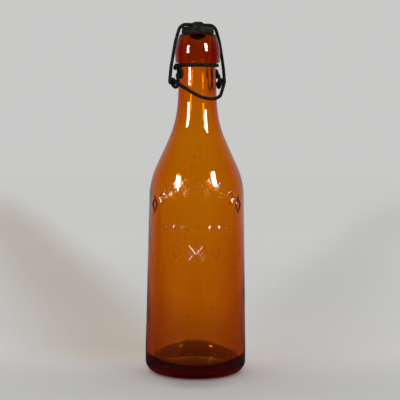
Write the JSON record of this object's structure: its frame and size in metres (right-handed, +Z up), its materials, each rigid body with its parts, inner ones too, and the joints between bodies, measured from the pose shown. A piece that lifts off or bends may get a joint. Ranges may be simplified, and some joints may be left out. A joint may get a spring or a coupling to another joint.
{
  "type": "swing top bottle",
  "caption": "Amber blown-glass bottle with a blob lip and a rusted wire swing closure over a rubber stopper.",
  "frame": {"origin": "middle of the base, on the surface that the bottle stands on", "axes": "+Z up the bottle's axis, +X along the lever's pivot axis, -Y towards the lever's thumb loop"},
  "size_m": [0.0702, 0.0702, 0.2431],
  "materials": {
    "amber_glass": "glossy, blown, slightly wavy",
    "rusted_wire": "rusted, rough",
    "cast_cap": "dark oxidised",
    "old_rubber": "matt, aged"
  },
  "bodies": {
    "bottle": {"glass_bottle": "amber_glass", "neck_tie_wire": "rusted_wire"},
    "lever": {"lever_wire": "rusted_wire"},
    "bail": {"bail_wire": "rusted_wire"},
    "stopper": {"stopper_cap": "cast_cap", "rubber_seal": "old_rubber", "stopper_stem": "cast_cap", "stem_washer": "cast_cap"}
  },
  "joints": [
    {"name": "lever_throw", "type": "hinge", "parent": "bottle", "child": "lever", "pos_m": [0, -0.0006, 0.2076], "axis": [-1, 0, 0], "range_deg": [0, 92]},
    {"name": "bail_pivot", "type": "hinge", "parent": "lever", "child": "bail", "pos_m": [0, 0, 0.201], "axis": [-1, 0, 0], "range_deg": [-92, 0]},
    {"name": "stopper_swivel", "type": "hinge", "parent": "bail", "child": "stopper", "pos_m": [0, 0, 0.24105], "axis": [-1, 0, 0], "range_deg": [-16, 0]}
  ],
  "couplings": [
    {"joint": "bail_pivot", "follows": "lever_throw", "ratio": -0.86},
    {"joint": "stopper_swivel", "follows": "lever_throw", "ratio": -0.14}
  ]
}
